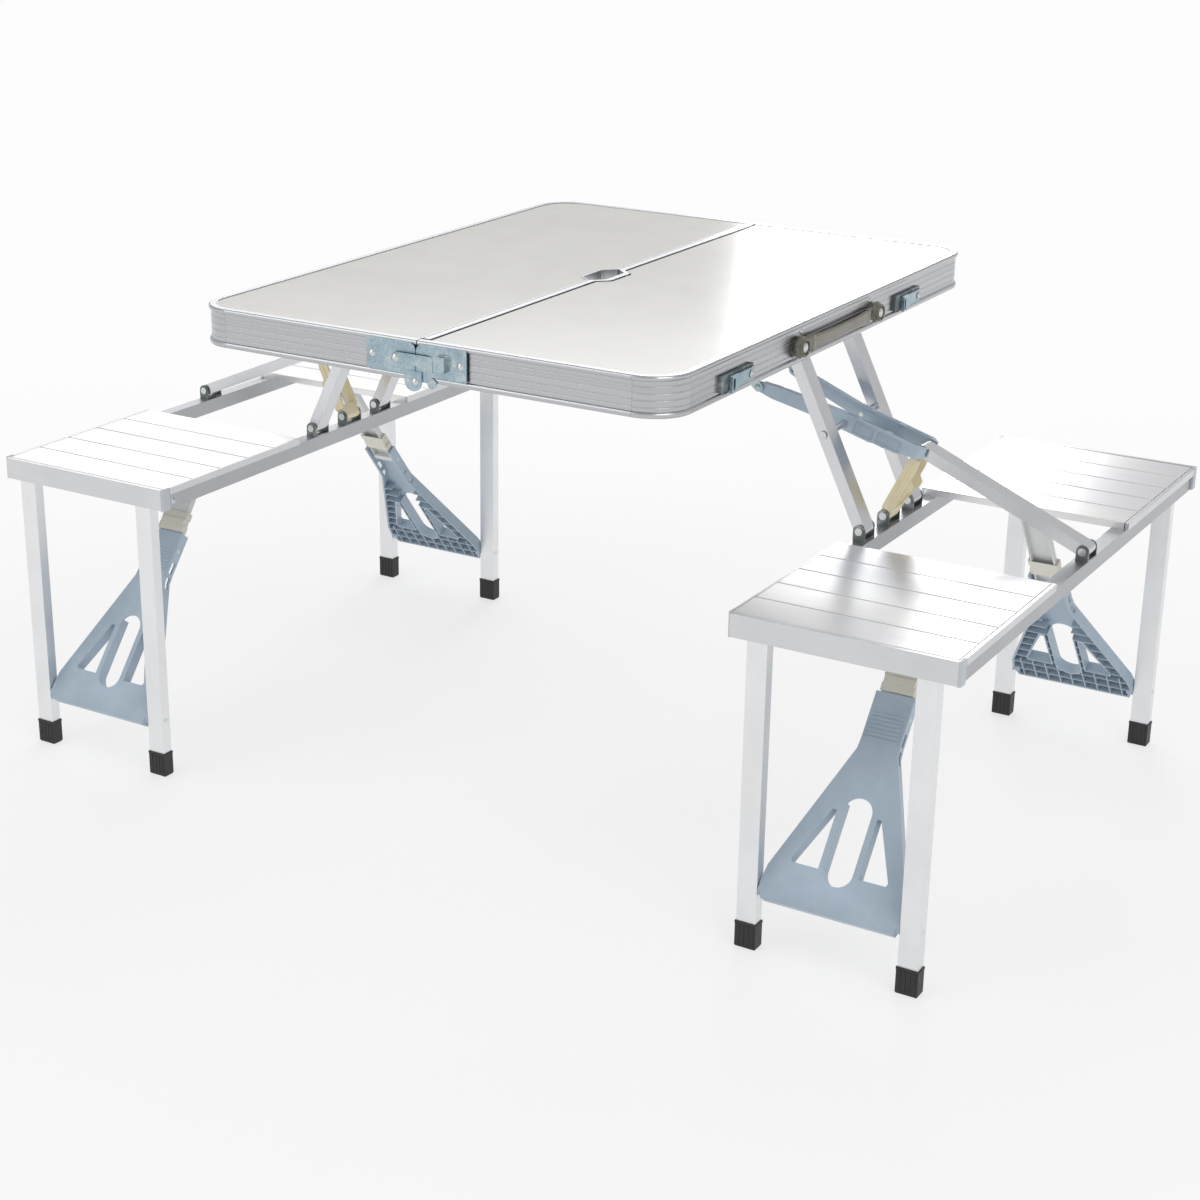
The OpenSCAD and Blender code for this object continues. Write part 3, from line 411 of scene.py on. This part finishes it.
def handle_strap():
    """Soft strap that arches between two ringed eyes, narrow in the middle, with collars beside the eyes."""
    low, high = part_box("handle")
    back = high.y
    mid_x, mid_z = (low.x + high.x) / 2, (low.z + high.z) / 2
    eye_r = (high.z - low.z) / 2
    eye_x = (high.x - low.x) / 2 - eye_r
    bm = bmesh.new()
    # strap from eye to eye
    rings = []
    for i in range(STRAP_ROWS + 1):
        t = -1 + 2 * i / STRAP_ROWS
        waist = 0.52 + 0.14 * t ** 2
        collars = 0.16 * hump(t, *COLLAR) + 0.10 * hump(t, *SMALL_COLLAR)
        half_t = 2.3 * MM + 0.7 * MM * hump(t, 0.84, 0.04)
        arch = 2.7 * MM + 2.4 * MM * (1 - t ** 4)
        lift = max(arch, half_t + 0.2 * MM)
        centre = Vector((mid_x + t * (eye_x - STRAP_SHORT), back - lift, mid_z))
        rings.append(strap_ring(bm, centre, eye_r * (waist + collars), half_t))
    skin(bm, rings, closed=False)
    bm.faces.new(list(reversed(rings[0])))
    bm.faces.new(rings[-1])
    # the two eyes, turned round the axes of the posts
    for side in (-1, 1):
        rings = []
        for r, rise in EYE:
            ring = []
            for a in turns(EYE_STEPS):
                x = mid_x + side * eye_x + r * MM * math.cos(a)
                ring.append(bm.verts.new((x, back - rise * MM, mid_z + r * MM * math.sin(a))))
            rings.append(ring)
        skin(bm, rings, closed=True)
    bmesh.ops.recalc_face_normals(bm, faces=bm.faces)
    mesh = bpy.data.meshes.new("handle_strap")
    bm.to_mesh(mesh)
    bm.free()
    for p in mesh.polygons:
        p.use_smooth = True
    strap = bpy.data.objects.new("handle_strap", mesh)
    bpy.context.scene.collection.objects.link(strap)
    strap.data.materials.append(MATERIALS["handle_plastic"])
    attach(strap, "handle")
    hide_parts("handle")


handle_strap()


# ---- Studio: floor, light, camera ----

FLOOR_SIZE, FLOOR_DROP = 60, 0.0005
# The floor fades from shaded to plain white between these distances from the middle
FADE_START, FADE_END = 0.9, 2.4
# Strength of the white surround as light on the object, and as the camera sees it
SURROUND_LIGHT, SURROUND_SEEN = 0.66, 1.0


def floor():
    """Pale floor that catches soft shadows near the object and fades to plain white further out."""
    s = Shader("floor")
    s.set(
        Base_Color=s.ramp(s.noise(3.0), [(0.3, shade(WHITE, 0.93)), (0.7, shade(WHITE, 0.95))]),
        Roughness=0.9,
    )
    reach = s.tree.nodes.new("ShaderNodeVectorMath")
    reach.operation = "LENGTH"
    s.link(s.place, reach.inputs[0])
    fade = s.fit(reach.outputs["Value"], 0.65, 1.0, FADE_START, FADE_END)
    glow = s.tree.nodes.new("ShaderNodeEmission")
    glow.inputs["Strength"].default_value = 0.98
    both = s.tree.nodes.new("ShaderNodeMixShader")
    for socket, value in zip(both.inputs, (fade, s.bsdf.outputs[0], glow.outputs[0])):
        s.link(value, socket)
    s.link(both.outputs[0], s.out.inputs[0])
    bpy.ops.mesh.primitive_plane_add(size=FLOOR_SIZE, location=(0, 0, -FLOOR_DROP))
    plane = bpy.context.object
    plane.name = "studio_floor"
    plane.data.materials.append(s.mat)


def softbox(name, place, aim, size, power):
    """A rectangular light of this size and power, not seen by the camera."""
    data = bpy.data.lights.new(name, "AREA")
    data.shape = "RECTANGLE"
    data.size, data.size_y = size
    data.energy = power
    light = bpy.data.objects.new(name, data)
    light.location = place
    light.rotation_euler = (Vector(aim) - Vector(place)).to_track_quat("-Z", "Y").to_euler()
    light.visible_camera = False
    bpy.context.scene.collection.objects.link(light)


def studio():
    """Even white surround, brighter where the camera sees it, and soft boxes for shape and gloss."""
    world = bpy.data.worlds.new("studio")
    bpy.context.scene.world = world
    world.use_nodes = True
    tree = world.node_tree
    sky = tree.nodes["Background"]
    sky.inputs["Color"].default_value = (*WHITE, 1.0)
    sight = tree.nodes.new("ShaderNodeLightPath")
    level = tree.nodes.new("ShaderNodeMapRange")
    level.inputs["To Min"].default_value = SURROUND_LIGHT
    level.inputs["To Max"].default_value = SURROUND_SEEN
    tree.links.new(sight.outputs["Is Camera Ray"], level.inputs["Value"])
    tree.links.new(level.outputs[0], sky.inputs["Strength"])
    softbox("key", (-1.6, -2.6, 2.9), (0, 0, 0.5), (2.2, 1.6), 26)
    softbox("back", (2.6, 2.2, 2.4), (0, 0, 0.5), (2.6, 1.6), 26)
    softbox("left", (-3.0, 1.8, 1.6), (0, 0, 0.4), (1.6, 1.6), 14)
    # its mirror image lies on the right part of the front half
    softbox("gloss", (3.87, 1.22, 1.63), (0.25, -0.17, 0.665), (0.9, 0.85), 24)


def camera():
    """Camera looking down on the table from the front left: yaw from +Y towards +X, in degrees."""
    place = Vector((-2.514, -1.4605, 1.2917))
    yaw, pitch, roll = (math.radians(v) for v in (58.494, -20.439, 0.423))
    forward = Vector((math.sin(yaw) * math.cos(pitch), math.cos(yaw) * math.cos(pitch), math.sin(pitch)))
    right = Vector((math.cos(yaw), -math.sin(yaw), 0))
    up = right.cross(forward)
    right, up = right * math.cos(roll) + up * math.sin(roll), up * math.cos(roll) - right * math.sin(roll)
    data = bpy.data.cameras.new("camera")
    data.sensor_width = 36
    data.lens = 67.683
    data.shift_x = 0.0427
    data.shift_y = 0.0018
    data.clip_end = 100
    cam = bpy.data.objects.new("camera", data)
    turn = Matrix((right, up, -forward)).transposed()
    cam.matrix_world = Matrix.Translation(place) @ turn.to_4x4()
    bpy.context.scene.collection.objects.link(cam)
    bpy.context.scene.camera = cam


floor()
studio()
camera()
bpy.context.scene.view_settings.view_transform = "Standard"
